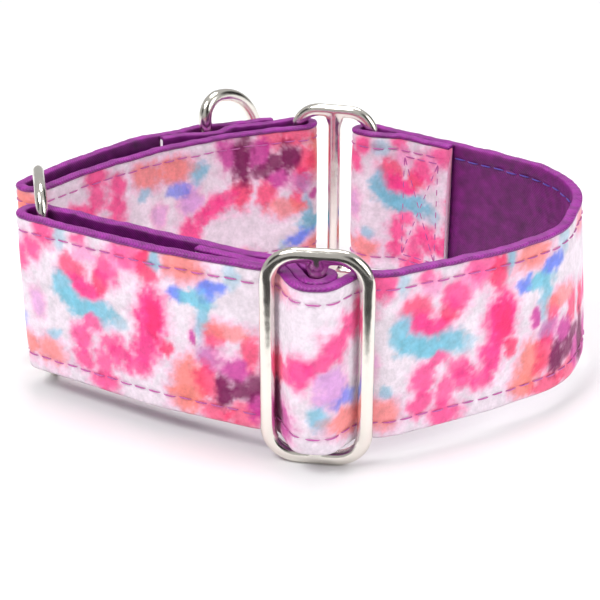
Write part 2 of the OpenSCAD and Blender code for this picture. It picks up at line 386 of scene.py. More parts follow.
def linear(colour: str) -> tuple[float, float, float]:
    """A screen colour as scene-linear values.

    Args:
        colour: six hexadecimal digits after a hash.

    Returns:
        Red, green and blue.
    """
    parts = [int(colour[i:i + 2], 16) / 255 for i in (1, 3, 5)]
    return tuple(c / 12.92 if c < 0.04045 else ((c + 0.055) / 1.055) ** 2.4 for c in parts)


@dataclass(frozen=True)
class DyePrint:
    """The print on the cloth: blots that repeat along the strap, with soft, frayed edges."""

    period: float = 88.0
    loop_shift: float = 122.0
    start: float = 130.0
    tab_shift: float = 23.5
    blot_edge: float = 1.52
    blot_core: float = 0.60
    halo: float = 2.1
    halo_core: float = 0.9
    halo_strength: float = 0.55

    def motif(self, strap: Strap, u: np.ndarray, v: np.ndarray) -> tuple[np.ndarray, np.ndarray]:
        """Where places on a strap lie in the print's repeat.

        Args:
            strap: the strap.
            u: distance along it.
            v: height above its lower edge.

        Returns:
            Distance along the repeat, and height in it.
        """
        if strap.side is PrintSide.LEFT:
            return u + self.loop_shift - self.start, STRAP_H - v
        return u - self.start + self.tab_shift * np.clip((u - 290) / 82, 0, 1), v

    def paint(self, strap: Strap, u: np.ndarray, v: np.ndarray) -> np.ndarray:
        """The print's colour at places on a strap.

        Args:
            strap: the strap.
            u: distance along it.
            v: height above its lower edge.

        Returns:
            Scene-linear red, green and blue of each.
        """
        m, h = self.motif(strap, u, v)
        m = m + layered(u, v, ((0.9, 3.1, 1), (0.45, 1.1, 2)))
        h = h + layered(u, v, ((0.9, 3.1, 3), (0.45, 1.1, 4)))
        fray = layered(u, v, ((0.20, 0.9, 5), (0.10, 0.4, 9)))
        colour = np.tile(linear(Dye.BASE.value), (len(u), 1))
        colour *= (1 - 0.05 * (1 + layered(u, v, ((1.0, 6.0, 6),))))[:, None]
        gaps = []
        for along, up, half_m, half_h, dye, strength, tilt in BLOTS:
            dm = (m - along + self.period / 2) % self.period - self.period / 2
            dh = h - up
            c, s = math.cos(tilt), math.sin(tilt)
            gaps.append(np.hypot((c * dm + s * dh) / half_m, (c * dh - s * dm) / half_h) + fray)
        warm = [d for d, b in zip(gaps, BLOTS) if b[4] not in (Dye.SKY, Dye.VIOLET)]
        near = smooth_step(self.halo, self.halo_core, np.min(warm, axis=0)) * self.halo_strength
        colour += near[:, None] * (np.array(linear(Dye.PALE.value)) - colour)
        for gap, blot in zip(gaps, BLOTS):
            weight = smooth_step(self.blot_edge, self.blot_core, gap) * blot[5]
            colour += weight[:, None] * (np.array(linear(blot[4].value)) - colour)
        mottle = 1 + layered(u, v, ((0.10, 1.6, 7), (0.05, 0.6, 8)))
        return np.clip(colour * mottle[:, None], 0, 1)


class Shader:
    """A material's node tree, and short ways to add to it."""

    def __init__(self, name: str) -> None:
        """Starts a material with an empty tree and a Principled shader.

        Args:
            name: the material's name.
        """
        self.material = bpy.data.materials.new(name)
        self.material.use_nodes = True
        self.tree = self.material.node_tree
        self.tree.nodes.clear()
        self.surface = self.node("ShaderNodeBsdfPrincipled")
        output = self.node("ShaderNodeOutputMaterial")
        self.link(self.surface.outputs[0], output.inputs[0])

    def node(self, kind: str, **inputs: object) -> bpy.types.Node:
        """Adds a node.

        Args:
            kind: the node's type.
            inputs: values of its sockets, named with _ for a space.

        Returns:
            The node.
        """
        made = self.tree.nodes.new(kind)
        for name, value in inputs.items():
            made.inputs[name.replace("_", " ")].default_value = value
        return made

    def link(self, source: bpy.types.NodeSocket, target: bpy.types.NodeSocket) -> None:
        """Joins two sockets.

        Args:
            source: the output.
            target: the input.
        """
        self.tree.links.new(source, target)

    def noise(self, scale: float, detail: float = 3.0) -> bpy.types.NodeSocket:
        """Adds noise in the object's own coordinates.

        Args:
            scale: cells in a metre.
            detail: how many finer layers it has.

        Returns:
            Its value.
        """
        coords = self.node("ShaderNodeTexCoord")
        made = self.node("ShaderNodeTexNoise", Scale=scale, Detail=detail)
        self.link(coords.outputs["Object"], made.inputs["Vector"])
        return made.outputs["Fac"]

    def waves(self, period: float, turn: float) -> bpy.types.NodeSocket:
        """Adds parallel ribs in the piece's own unwrapped coordinates.

        Args:
            period: distance between two ribs, in metres.
            turn: the ribs' angle to the strap, in degrees.

        Returns:
            Their value.
        """
        unwrapped = self.node("ShaderNodeUVMap")
        unwrapped.uv_map = "strap"
        mapping = self.node("ShaderNodeMapping", Rotation=(0, 0, math.radians(turn)))
        ribs = self.node("ShaderNodeTexWave", Scale=2 * math.pi / (20 * period), Distortion=0.5)
        self.link(unwrapped.outputs[0], mapping.inputs["Vector"])
        self.link(mapping.outputs[0], ribs.inputs["Vector"])
        return ribs.outputs["Fac"]

    def spread(self, value: bpy.types.NodeSocket, low: float, high: float,
               start: float = 0.0, end: float = 1.0) -> bpy.types.NodeSocket:
        """Maps a value from one range onto another.

        Args:
            value: the value.
            low: the new range's start.
            high: the new range's end.
            start: the old range's start.
            end: the old range's end.

        Returns:
            The mapped value.
        """
        made = self.node("ShaderNodeMapRange", From_Min=start, From_Max=end, To_Min=low,
                         To_Max=high)
        self.link(value, made.inputs["Value"])
        return made.outputs[0]

    def times(self, one: bpy.types.NodeSocket, two: bpy.types.NodeSocket
              ) -> bpy.types.NodeSocket:
        """Multiplies two values.

        Args:
            one: a value.
            two: another.

        Returns:
            Their product.
        """
        made = self.node("ShaderNodeMath")
        made.operation = "MULTIPLY"
        self.link(one, made.inputs[0])
        self.link(two, made.inputs[1])
        return made.outputs[0]

    def bump(self, heights: list[tuple[bpy.types.NodeSocket, float]]) -> None:
        """Adds relief to the shader, coarse first.

        Args:
            heights: each value and the height that it stands for, in metres.
        """
        normal = None
        for value, height in heights:
            made = self.node("ShaderNodeBump", Strength=1.0, Distance=height)
            self.link(value, made.inputs["Height"])
            if normal is not None:
                self.link(normal, made.inputs["Normal"])
            normal = made.outputs[0]
        self.link(normal, self.surface.inputs["Normal"])

    def vary(self, colour: bpy.types.NodeSocket, amount: bpy.types.NodeSocket) -> None:
        """Makes a colour lighter and darker, and gives it to the shader.

        Args:
            colour: the colour.
            amount: how bright it is, round 1.
        """
        made = self.node("ShaderNodeHueSaturation")
        self.link(colour, made.inputs["Color"])
        self.link(amount, made.inputs["Value"])
        self.link(made.outputs[0], self.surface.inputs["Base Color"])

    def plain(self, colour: tuple[float, float, float]) -> bpy.types.NodeSocket:
        """Adds a colour.

        Args:
            colour: scene-linear red, green and blue.

        Returns:
            The colour's socket.
        """
        made = self.node("ShaderNodeRGB")
        made.outputs[0].default_value = (*colour, 1)
        return made.outputs[0]

    def socket(self, name: str, value: object) -> None:
        """Sets one of the shader's own sockets.

        Args:
            name: the socket.
            value: its value.
        """
        self.surface.inputs[name].default_value = value


@dataclass(frozen=True)
class Velvet:
    """Short napped cloth that carries the print."""

    roughness: float = 0.85
    sheen: float = 0.22

    def build(self) -> bpy.types.Material:
        """Makes the material.

        Returns:
            The material.
        """
        s = Shader("print_velvet")
        attribute = s.node("ShaderNodeAttribute")
        attribute.attribute_name = "print_colour"
        s.vary(attribute.outputs["Color"], s.spread(s.noise(1300), 0.82, 1.18))
        s.socket("Roughness", self.roughness)
        s.socket("Sheen Weight", self.sheen)
        s.socket("Sheen Roughness", 0.4)
        s.socket("Specular IOR Level", 0.2)
        s.bump([(s.noise(350, 2), 0.00025), (s.noise(2600, 2), 0.00012)])
        return s.material


@dataclass(frozen=True)
class Satin:
    """Ribbed satin with a soft shine."""

    colour: tuple[float, float, float] = (0.150, 0.005, 0.142)
    roughness: float = 0.40
    rib: float = 0.00050

    def build(self) -> bpy.types.Material:
        """Makes the material.

        Returns:
            The material.
        """
        s = Shader("purple_satin")
        ribs = s.waves(self.rib, 50)
        mottle = s.times(s.spread(ribs, 0.78, 1.2), s.spread(s.noise(420, 4), 0.15, 1.85))
        # The lining's colour carries a painted highlight along its upper edge, where light from
        # above falls.
        s.vary(s.plain(self.colour), s.times(mottle, self.painted_edge_highlight(s)))
        rough = s.spread(s.noise(500), self.roughness - 0.06, self.roughness + 0.08)
        s.link(rough, s.surface.inputs["Roughness"])
        s.socket("Sheen Weight", 0.12)
        s.socket("Sheen Tint", (0.85, 0.2, 0.85, 1))
        s.bump([(s.noise(240, 2), 0.0003), (ribs, 0.00006)])
        return s.material


    @staticmethod
    def painted_edge_highlight(s: Shader) -> bpy.types.NodeSocket:
        """Painted highlight: the wrapped upper edge is painted brighter, where light from above
        falls on it.

        Args:
            s: the material that it's for.

        Returns:
            How much brighter the painted highlight makes each place.
        """
        coords, apart = s.node("ShaderNodeTexCoord"), s.node("ShaderNodeSeparateXYZ")
        top = (STRAP_Z + STRAP_H) * MM
        s.link(coords.outputs["Object"], apart.inputs[0])
        return s.spread(apart.outputs["Z"], 1.0, 1.75, top - 0.0012, top - 0.0002)


@dataclass(frozen=True)
class Webbing:
    """Plain woven core, hidden between the cloths."""

    colour: tuple[float, float, float] = (0.52, 0.48, 0.55)

    def build(self) -> bpy.types.Material:
        """Makes the material.

        Returns:
            The material.
        """
        s = Shader("webbing")
        weave = s.waves(0.0009, 0)
        s.vary(s.plain(self.colour), s.spread(s.noise(900), 0.85, 1.15))
        s.socket("Roughness", 0.8)
        s.bump([(weave, 0.00012), (s.waves(0.0012, 90), 0.00012)])
        return s.material


@dataclass(frozen=True)
class Thread:
    """Sewing thread, twisted and slightly shiny."""

    colour: tuple[float, float, float] = (0.36, 0.05, 0.36)

    def build(self) -> bpy.types.Material:
        """Makes the material.

        Returns:
            The material.
        """
        s = Shader("thread")
        attribute = s.node("ShaderNodeAttribute")
        attribute.attribute_name = "thread_colour"
        s.vary(attribute.outputs["Color"], s.spread(s.noise(2200), 0.75, 1.25))
        s.socket("Roughness", 0.5)
        s.socket("Sheen Weight", 0.3)
        s.bump([(s.noise(3500, 2), 0.00006)])
        return s.material


@dataclass(frozen=True)
class Nickel:
    """Polished nickel plate with faint swirls and handling marks."""

    colour: tuple[float, float, float] = (0.80, 0.765, 0.70)
    roughness: float = 0.14

    def build(self) -> bpy.types.Material:
        """Makes the material.

        Returns:
            The material.
        """
        s = Shader("nickel")
        s.vary(s.plain(self.colour), s.spread(s.noise(160), 0.90, 1.08))
        rough = s.spread(s.noise(420, 5), self.roughness - 0.05, self.roughness + 0.12)
        s.link(rough, s.surface.inputs["Roughness"])
        s.socket("Metallic", 1.0)
        s.bump([(s.noise(180, 2), 0.00012)])
        return s.material


@dataclass(frozen=True)
class Finishes:
    """Every material, made once."""

    velvet: bpy.types.Material
    satin: bpy.types.Material
    webbing: bpy.types.Material
    thread: bpy.types.Material
    nickel: bpy.types.Material


def make_piece(name: str, points: np.ndarray, faces: list[tuple[int, ...]],
               material: bpy.types.Material, unwrapped: np.ndarray | None = None,
               colours: dict[str, np.ndarray] | None = None) -> bpy.types.Object:
    """Makes a closed mesh with outward faces.

    Args:
        name: the piece's name.
        points: its vertices, in metres.
        faces: its faces.
        material: its material.
        unwrapped: each vertex's place in the unwrapped cloth, in metres.
        colours: colour attributes, one colour for each vertex.

    Returns:
        The piece.
    """
    mesh = bpy.data.meshes.new(name)
    mesh.from_pydata(points.reshape(-1, 3).tolist(), [], faces)
    if unwrapped is not None:
        layer = mesh.uv_layers.new(name="strap")
        corners = np.zeros(len(mesh.loops), int)
        mesh.loops.foreach_get("vertex_index", corners)
        layer.data.foreach_set("uv", unwrapped[corners].astype(np.float32).ravel())
    for key, values in (colours or {}).items():
        attribute = mesh.color_attributes.new(name=key, type="FLOAT_COLOR", domain="POINT")
        rgba = np.concatenate([values, np.ones((len(values), 1))], 1)
        attribute.data.foreach_set("color", rgba.astype(np.float32).ravel())
    mesh.materials.append(material)
    piece = bpy.data.objects.new(name, mesh)
    bpy.context.scene.collection.objects.link(piece)
    select_only(piece)
    bpy.ops.object.mode_set(mode="EDIT")
    bpy.ops.mesh.select_all(action="SELECT")
    bpy.ops.mesh.normals_make_consistent(inside=False)
    bpy.ops.object.mode_set(mode="OBJECT")
    mesh.shade_smooth()
    LOG.info("%s: %d vertices", name, len(mesh.vertices))
    return piece


def select_only(piece: bpy.types.Object) -> None:
    """Selects one object and makes it active.

    Args:
        piece: the object.
    """
    bpy.ops.object.select_all(action="DESELECT")
    piece.select_set(True)
    bpy.context.view_layer.objects.active = piece


def swept(count: int, ring: int) -> list[tuple[int, ...]]:
    """The faces of a closed profile that is swept along a line, with an end cap at each end.

    Args:
        count: how many profiles there are.
        ring: how many points each has.

    Returns:
        The faces.
    """
    i, j = np.meshgrid(np.arange(count - 1), np.arange(ring), indexing="ij")
    a, b = i * ring + j, i * ring + (j + 1) % ring
    quads = np.stack([a, b, b + ring, a + ring], -1).reshape(-1, 4).tolist()
    first = tuple(range(ring))
    last = tuple((count - 1) * ring + k for k in reversed(range(ring)))
    return [*map(tuple, quads), first, last]


@dataclass(frozen=True)
class StitchStyle:
    """How a row of stitching looks."""

    length: float = 3.1
    pitch: float = 3.85
    radius: float = 0.18
    dive: float = 0.34
    sink: float = 0.12
    drift: float = 0.12
    seam_pitch: float = 3.0
    seam_sink: float = 0.10
    print_dye: str = "#c45ba8"
    satin_dye: str = "#5a45b8"


STITCH = StitchStyle()


class Threads:
    """Separate stitches that are gathered into one mesh."""

    SIDES = 7
    SWELL = (0.30, 0.78, 0.97, 1.0, 1.0, 0.97, 0.78, 0.30)

    def __init__(self) -> None:
        """Starts with no stitches."""
        self.points: list[np.ndarray] = []
        self.colours: list[np.ndarray] = []
        self.faces: list[tuple[int, ...]] = []
        self.count = 0

    def add(self, path: np.ndarray, dye: str) -> None:
        """Adds a stitch: a thin tube with narrow ends.

        Args:
            path: the points along its middle, as many as there are in SWELL, in metres.
            dye: its colour.
        """
        rings, base = len(self.SWELL), self.count * len(self.SWELL) * self.SIDES
        heading = np.gradient(path, axis=0)
        heading /= np.linalg.norm(heading, axis=1)[:, None]
        guide = np.array((0.31, 0.2, 0.93)) if abs(heading[0][2]) < 0.8 else np.array((1, .1, 0))
        one = np.cross(heading, guide)
        one /= np.linalg.norm(one, axis=1)[:, None]
        two = np.cross(heading, one)
        angle = np.linspace(0, 2 * math.pi, self.SIDES, endpoint=False)
        radius = np.array(self.SWELL)[:, None, None] * STITCH.radius * MM
        ring = one[:, None] * np.cos(angle)[:, None] + two[:, None] * np.sin(angle)[:, None]
        self.points.append((path[:, None] + radius * ring).reshape(-1, 3))
        self.colours.append(np.tile(linear(dye), (rings * self.SIDES, 1)))
        self.faces += [tuple(base + k for k in f) for f in swept(rings, self.SIDES)]
        self.count += 1

    def row(self, strap: Strap, height: float) -> None:
        """Adds a running stitch along both faces of a strap.

        Args:
            strap: the strap.
            height: the row's height above the strap's lower edge.
        """
        count = int((strap.length - 3) / STITCH.pitch)
        start = (strap.length - count * STITCH.pitch) / 2
        reach = np.linspace(0, 1, len(self.SWELL))
        for i in range(count):
            for face, dye in ((1, STITCH.print_dye), (-1, STITCH.satin_dye)):
                u = start + i * STITCH.pitch + STITCH.length * reach
                sink = STITCH.dive * (2 * reach - 1) ** 6
                drift = STITCH.drift * math.sin(i * 2.4 + face)
                self.add(strap.at(u, height + drift, face * (FACE_D - STITCH.sink - sink)), dye)

    def seam(self, start: np.ndarray, end: np.ndarray, outward: np.ndarray) -> None:
        """Adds a straight row of short stitches on one face.

        Args:
            start: one end of the row, on the cloth, in mm.
            end: its other end.
            outward: the direction that the cloth faces.
        """
        length = float(np.linalg.norm(end - start))
        count = max(1, round(length / STITCH.seam_pitch))
        reach = np.linspace(0, 1, len(self.SWELL))[:, None]
        for i in range(count):
            t = (i + 0.06 + 0.88 * reach) / count
            sink = STITCH.seam_sink + STITCH.dive * (2 * reach - 1) ** 6
            self.add((start + (end - start) * t - outward * sink) * MM, STITCH.print_dye)

    def build(self, name: str, material: bpy.types.Material) -> bpy.types.Object:
        """Makes the mesh.

        Args:
            name: the piece's name.
            material: its material.

        Returns:
            The piece.
        """
        return make_piece(name, np.concatenate(self.points), self.faces, material,
                          colours={"thread_colour": np.concatenate(self.colours)})


@dataclass
class StrapPart:
    """A finished strap: printed cover, webbing core, satin lining and its running stitches."""

    strap: Strap
    finishes: Finishes
    seed: int

    def valley(self, u: np.ndarray, v: np.ndarray) -> np.ndarray:
        """How far a face sinks at the rows of stitching and its puckers.

        Args:
            u: distance along the strap.
            v: height above its lower edge.

        Returns:
            The depth, in mm.
        """
        edge = np.minimum(v, STRAP_H - v)
        row = ROW_DEPTH * np.exp(-(((edge - STITCH_INSET) / ROW_W) ** 2))
        pucker = PUCKER_DEPTH * np.exp(-(((edge - STITCH_INSET) / PUCKER_W) ** 2))
        return row + pucker * (1 + value_noise(u / 2.3, v / 6, self.seed))

    def cover(self) -> bpy.types.Object:
        """Makes the printed cover.

        Returns:
            The piece.
        """
        u = np.linspace(0, self.strap.length, round(self.strap.length / 0.5) + 1)
        v = np.linspace(COVER_LOW, COVER_HIGH, 75)
        uu, vv = np.meshgrid(u, v, indexing="ij")
        edge = np.minimum(vv - COVER_LOW, COVER_HIGH - vv)
        d = FACE_D - self.valley(uu, vv) - EDGE_DROP * np.exp(-((edge / EDGE_W) ** 2))
        d = d - 0.03 * (1 + value_noise(uu / 7, vv / 7, self.seed + 20))
        back = np.broadcast_to(np.array((COVER_HIGH, COVER_LOW + 0.3)), (len(u), 2))
        uu = np.concatenate([uu, uu[:, :2]], 1)
        vv = np.concatenate([vv, back], 1)
        hem = np.where(np.minimum(u, self.strap.length - u) < HEM_W, -CORE_D, CORE_D + SKIN_GAP)
        d = np.concatenate([d, np.stack([hem, hem], 1)], 1)
        points = self.strap.at(uu, vv, d).reshape(-1, 3)
        colour = DyePrint().paint(self.strap, uu.ravel(), vv.ravel())
        cloth = np.stack([uu.ravel(), vv.ravel()], 1) * MM
        return make_piece(self.strap.name + "_cover", points, swept(*uu.shape),
                          self.finishes.velvet, cloth, {"print_colour": colour})

    def webbing(self) -> bpy.types.Object:
        """Makes the webbing core.

        Returns:
            The piece.
        """
        end = self.strap.length - CORE_INSET
        u = np.linspace(CORE_INSET, end, round(self.strap.length / 1.0) + 1)
        v = np.array((1.0, 1.4, 10, 19, 28, 36.6, 37.0))
        ring_v = np.r_[v, v[::-1]]
        rim = np.array((0.45, 1, 1, 1, 1, 1, 0.45)) * CORE_D
        ring_d = np.r_[rim, -rim]
        uu, vv = np.meshgrid(u, ring_v, indexing="ij")
        points = self.strap.at(uu, vv, ring_d[None, :]).reshape(-1, 3)
        cloth = np.stack([uu.ravel(), vv.ravel()], 1) * MM
        return make_piece(self.strap.name + "_webbing", points, swept(*uu.shape),
                          self.finishes.webbing, cloth)

    def lining(self) -> bpy.types.Object:
        """Makes the satin lining, whose edges wrap round onto the print side.

        Returns:
            The piece.
        """
        top = STRAP_H
        inner = -(CORE_D + 0.05)
        upper = [(-FACE_D + 0.14, 0.16), (-0.75, 0.02), (0, 0), (0.75, 0.02), (FACE_D - 0.10, 0.14),
                 (FACE_D + 0.02, 0.42), (FACE_D - 0.03, 0.72), (FACE_D - 0.18, 0.96),
                 (FACE_D - 0.42, 0.92), (CORE_D + 0.08, 0.78), (inner, 0.78)]
        lower = [(-FACE_D + 0.14, 0.16), (-0.75, 0.02), (-0.3, 0), (0.2, 0.04), (0.50, 0.14),
                 (CORE_D + 0.01, 0.34), (CORE_D + 0.01, 0.70), (inner, 0.78)]
        face = np.linspace(0.45, top - 0.45, 75)
        ring = [(-FACE_D, v) for v in face]
        ring += [(d, top - e) for d, e in upper]
        ring += [(d, e) for d, e in reversed(lower)]
        ring_d, ring_v = np.array(ring).T
        u = np.linspace(0, self.strap.length, round(self.strap.length / 0.6) + 1)
        uu, vv = np.meshgrid(u, ring_v, indexing="ij")
        d = np.broadcast_to(ring_d, uu.shape).copy()
        n = len(face)
        d[:, :n] += self.valley(uu[:, :n], vv[:, :n])
        d[:, :n] += 0.06 * (1 + value_noise(uu[:, :n] / 2.6, vv[:, :n] / 5, self.seed + 40))
        side = np.where(vv > top / 2, 1, -1)
        rim = np.clip(1.6 - np.minimum(vv, top - vv), 0, 1)
        wave = value_noise(uu / 3.4, side * 7.3 + 40, self.seed + 60)
        wave = 0.19 * wave + 0.09 * value_noise(uu / 1.3, side * 5.1 + 20, self.seed + 61)
        vv = vv + side * rim * wave
        points = self.strap.at(uu, vv, d).reshape(-1, 3)
        cloth = np.stack([uu.ravel(), (vv + ring_d).ravel()], 1) * MM
        return make_piece(self.strap.name + "_lining", points, swept(*uu.shape),
                          self.finishes.satin, cloth)

    def stitching(self, where: str, height: float) -> bpy.types.Object:
        """Makes one row of running stitch.

        Args:
            where: the row's place in its name.
            height: its height above the strap's lower edge.

        Returns:
            The piece.
        """
        threads = Threads()
        threads.row(self.strap, height)
        return threads.build(f"{self.strap.name}_{where}_stitching", self.finishes.thread)

    def build(self) -> dict[str, bpy.types.Object]:
        """Makes every piece of the strap.

        Returns:
            Each piece, by its part of the strap.
        """
        return {"cover": self.cover(), "webbing": self.webbing(), "lining": self.lining(),
                "top": self.stitching("top", STRAP_H - STITCH_INSET),
                "bottom": self.stitching("bottom", STITCH_INSET)}


def on_face(c: Point, heading: float, x: float, y: float, z: float) -> np.ndarray:
    """A point on a face of the cloth, in mm.

    Args:
        c: the point that it's measured from.
        heading: the heading of the cloth.
        x: distance along it.
        y: distance to its left.
        z: height.

    Returns:
        The point.
    """
    x, y = place(c, heading, x, y)
    return np.array((x + FOOTPRINT[0], y + FOOTPRINT[1], z))


def to_left(heading: float) -> np.ndarray:
    """The direction to the left of a heading.

    Args:
        heading: the heading, in degrees.

    Returns:
        The direction.
    """
    return np.array((-math.sin(math.radians(heading)), math.cos(math.radians(heading)), 0))


SEAM_HALF = (STRAP_H - 2 * STITCH_INSET - 3) / 2


class Seams:
    """The three places where cloth is sewn through to hold a fold."""

    @staticmethod
    def tab_box(material: bpy.types.Material) -> bpy.types.Object:
        """The box and cross on the tab behind the back ring.

        Args:
            material: its thread.

        Returns:
            The piece.
        """
        threads, face = Threads(), TAB_Y + FACE_D
        low, high = MID_Z - SEAM_HALF, MID_Z + SEAM_HALF
        corner = {(i, k): on_face(BACK_BAR, TAB_A, x, face, z)
                  for i, x in enumerate(STITCHED_X) for k, z in enumerate((low, high))}
        pairs = [((0, 0), (0, 1)), ((1, 0), (1, 1)), ((0, 0), (1, 1)), ((0, 1), (1, 0)),
                 ((0, 1), (1, 1)), ((0, 0), (1, 0))]
        for start, end in pairs:
            threads.seam(corner[start], corner[end], to_left(TAB_A))
        return threads.build("tab_box_stitches", material)

    @staticmethod
    def tail(material: bpy.types.Material) -> bpy.types.Object:
        """The two uprights that sew the strap's end down.

        Args:
            material: their thread.

        Returns:
            The piece.
        """
        threads = Threads()
        for x in (4.5, 12.0):
            ends = [on_face(TAIL_BEND, TAIL_A, x, FACE_D - 0.1, MID_Z + s * SEAM_HALF)
                    for s in (-1, 1)]
            threads.seam(ends[0], ends[1], to_left(TAIL_A))
        return threads.build("tail_stitches", material)

    @staticmethod
    def lead(material: bpy.types.Material) -> bpy.types.Object:
        """The uprights on either side of the lead ring's bar.

        Args:
            material: their thread.

        Returns:
            The piece.
        """
        threads, face = Threads(), PLY / 2 + FACE_D
        for c, heading, x in ((LEAD_BAR, LEAD_A, -9.0), (at_lead(6.5, 0.1), LAP_A, 4.0)):
            ends = [on_face(c, heading, x, face, MID_Z + s * SEAM_HALF) for s in (-1, 1)]
            threads.seam(ends[0], ends[1], to_left(heading))
        return threads.build("lead_seam_stitches", material)


class Hardware:
    """Nickel castings, modelled on the ground plane, then stood up and put in place."""

    SIDES = 28

    def __init__(self, material: bpy.types.Material) -> None:
        """Keeps the material.

        Args:
            material: the nickel.
        """
        self.material = material

    def start_bar(self, name: str, at: Point) -> bpy.types.Object:
        """Starts a bar that runs upwards in the plane, with every point selected.

        Args:
            name: the piece's name.
            at: the bar's start.

        Returns:
            The piece, in edit mode.
        """
        bpy.ops.object.select_all(action="DESELECT")
        bpy.ops.mesh.primitive_circle_add(
            vertices=self.SIDES, radius=BAR_D / 2 * MM, fill_type="NOTHING",
            location=(at[0] * MM, at[1] * MM, 0), rotation=(math.pi / 2, 0, 0))
        piece = bpy.context.active_object
        piece.name = piece.data.name = name
        bpy.ops.object.transform_apply(location=True, rotation=True, scale=True)
        bpy.ops.object.mode_set(mode="EDIT")
        bpy.ops.mesh.select_all(action="SELECT")
        return piece

    @staticmethod
    def straight(x: float, y: float, parts: int) -> None:
        """Extrudes the bar's open end.

        Args:
            x: distance across the plane.
            y: distance up it.
            parts: how many lengths it's made in.
        """
        for _ in range(parts):
            bpy.ops.mesh.extrude_region_move(
                TRANSFORM_OT_translate={"value": (x * MM / parts, y * MM / parts, 0)})

    @staticmethod
    def turned(centre: Point, angle: float, steps: int) -> None:
        """Spins the bar's open end round a point.

        Args:
            centre: the point.
            angle: how far, in degrees.
            steps: how many lengths it's made in.
        """
        bpy.ops.mesh.spin(steps=steps, angle=math.radians(angle), axis=(0, 0, -1),
                          center=(centre[0] * MM, centre[1] * MM, 0))

    def close(self) -> None:
        """Joins the bar's end to its start and leaves edit mode."""
        bpy.ops.mesh.select_all(action="SELECT")
        bpy.ops.mesh.remove_doubles(threshold=0.00002)
        bpy.ops.mesh.normals_make_consistent(inside=False)
        bpy.ops.object.mode_set(mode="OBJECT")

    def stand(self, piece: bpy.types.Object, at: tuple[float, float, float], turn: float) -> None:
        """Stands a piece up, puts it in place and applies that to its mesh.

        Args:
            piece: the piece.
            at: where its origin goes, in mm.
            turn: its heading, in degrees.
        """
        select_only(piece)
        piece.rotation_euler = (math.pi / 2, 0, math.radians(turn))
        piece.location = [(c + off) * MM for c, off in zip(at, (*FOOTPRINT, 0))]
        bpy.ops.object.transform_apply(location=True, rotation=True, scale=True)
        piece.data.materials.clear()
        piece.data.materials.append(self.material)
        piece.data.shade_smooth()
        LOG.info("%s: %d vertices", piece.name, len(piece.data.vertices))

    def casting(self, name: str, c: Point, turn: float) -> bpy.types.Object:
        """Makes a slotted casting: a rounded frame and a centre bar with flared ends.

        Args:
            name: the piece's name.
            c: its middle.
            turn: its heading, in degrees.

        Returns:
            The piece.
        """
        w, h = BAR_PITCH - BEND_R, (CASTING_H - BAR_D) / 2 - BEND_R
        frame_bar = self.start_bar(name, (BAR_PITCH, -h))
        self.straight(0, 2 * h, 24)
        self.turned((w, h), 90, 16)
        self.straight(-2 * w, 0, 6)
        self.turned((-w, h), 90, 16)
        self.straight(0, -2 * h, 24)
        self.turned((-w, -h), 90, 16)
        self.straight(2 * w, 0, 6)
        self.turned((w, -h), 90, 16)
        self.close()
        bpy.ops.object.select_all(action="DESELECT")
        parts = [frame_bar]
        bar_h = CASTING_H - BAR_D
        bpy.ops.mesh.primitive_cylinder_add(
            vertices=32, radius=BAR_D / 2 * MM, depth=bar_h * MM, rotation=(math.pi / 2, 0, 0))
        parts.append(bpy.context.active_object)
        for side in (-1, 1):
            bpy.ops.mesh.primitive_cone_add(
                vertices=32, radius1=(BAR_D / 2 + FLARE_OUT) * MM, radius2=BAR_D / 2 * 0.98 * MM,
                depth=FLARE_H * MM, location=(0, side * (bar_h - FLARE_H) / 2 * MM, 0),
                rotation=(side * math.pi / 2, 0, 0))
            bpy.ops.object.transform_apply(location=True, rotation=True, scale=True)
            bpy.context.active_object.scale = (1, 1, FLARE_FLAT)
            parts.append(bpy.context.active_object)
        for part in parts:
            part.select_set(True)
        bpy.context.view_layer.objects.active = frame_bar
        bpy.ops.object.join()
        self.modify(frame_bar, "REMESH", mode="VOXEL", voxel_size=VOXEL, adaptivity=0.0)
        self.modify(frame_bar, "SMOOTH", factor=SMOOTHING, iterations=SMOOTH_PASSES)
        select_only(frame_bar)
        frame_bar.scale = CASTING_SCALE
        bpy.ops.object.transform_apply(location=False, rotation=False, scale=True)
        self.stand(frame_bar, (*c, MID_Z), turn)
        return frame_bar

    @staticmethod
    def modify(piece: bpy.types.Object, kind: str, **settings: object) -> None:
        """Adds a modifier and applies it.

        Args:
            piece: the piece.
            kind: the modifier's type.
            settings: its settings.
        """
        select_only(piece)
        made = piece.modifiers.new(kind.lower(), kind)
        for key, value in settings.items():
            setattr(made, key, value)
        bpy.ops.object.modifier_apply(modifier=made.name)

    def lead_ring(self) -> bpy.types.Object:
        """Makes the D-shaped ring that a lead clips to.

        Returns:
            The piece.
        """
        half, tight, wide = (LEAD_H - BAR_D) / 2, 5.0, 16.0
        straight = half - wide
        ring = self.start_bar("lead_ring_bow", (0, -(half - tight)))
        self.straight(0, 2 * (half - tight), 20)
        self.turned((tight, half - tight), -90, 18)
        self.turned((tight, straight), -90, 36)
        self.straight(0, -2 * straight, 12)
        self.turned((tight, -straight), -90, 36)
        self.turned((tight, -(half - tight)), -90, 18)
        self.close()
        self.stand(ring, (*LEAD_BAR, LEAD_FOOT + LEAD_H / 2), LEAD_A + LEAD_LEAN)
        return ring


